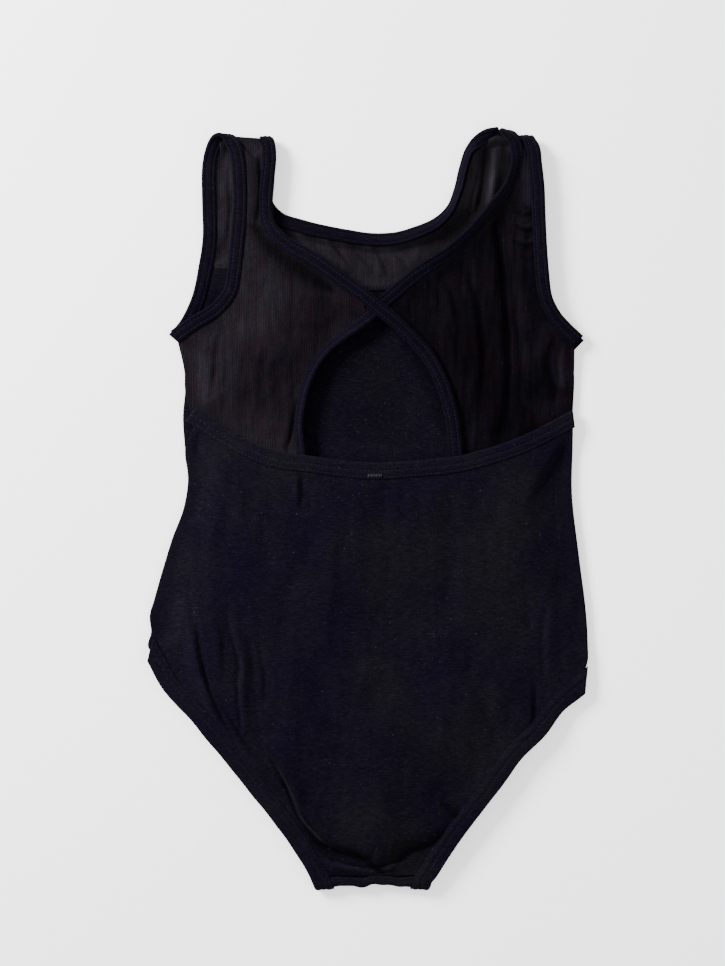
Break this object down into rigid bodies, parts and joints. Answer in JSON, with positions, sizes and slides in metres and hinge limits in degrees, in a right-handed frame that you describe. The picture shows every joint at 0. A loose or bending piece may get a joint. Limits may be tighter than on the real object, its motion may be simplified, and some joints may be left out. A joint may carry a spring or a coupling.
{
  "type": "gymnastics leotard",
  "caption": "Sleeveless one-piece with a mesh yoke and wings, bound edges, a crossed keyhole back and elastic leg openings, lying flat on its front.",
  "frame": {"origin": "on the surface the garment lies on, under the middle of its box", "axes": "+Y to the shoulders, +Z out of the back, +X to the wearer's right"},
  "size_m": [0.2982, 0.5172, 0.0121],
  "materials": {
    "jersey": "matt brushed knit, navy black",
    "mesh": "semi-sheer ribbed stretch mesh, black",
    "binding": "folded jersey strip, twin coverstitched",
    "elastic": "flat elastic tape",
    "thread": "overlock and tack stitching",
    "label": "plain satin label, blank"
  },
  "bodies": {
    "root": {"front_body": "jersey", "back_body": "jersey", "crotch_gusset": "jersey", "front_yoke": "mesh", "back_wing_left": "mesh", "back_wing_right": "mesh", "neck_binding_front": "binding", "cross_band_left": "binding", "cross_band_right": "binding", "keyhole_binding_left": "binding", "armhole_binding_left": "binding", "armhole_binding_right": "binding", "back_top_hem": "binding", "leg_hem_left": "binding", "leg_hem_right": "binding", "neck_elastic_front": "elastic", "cross_band_elastic_left": "elastic", "cross_band_elastic_right": "elastic", "keyhole_elastic_left": "elastic", "armhole_elastic_left": "elastic", "armhole_elastic_right": "elastic", "back_top_elastic": "elastic", "leg_elastic_left": "elastic", "leg_elastic_right": "elastic", "side_seam_left": "thread", "side_seam_right": "thread", "yoke_seam": "thread", "crotch_seam": "thread", "shoulder_seam_left": "thread", "shoulder_seam_right": "thread", "label_tack": "thread", "crossing_tack": "thread", "care_label": "label"}
  },
  "joints": []
}
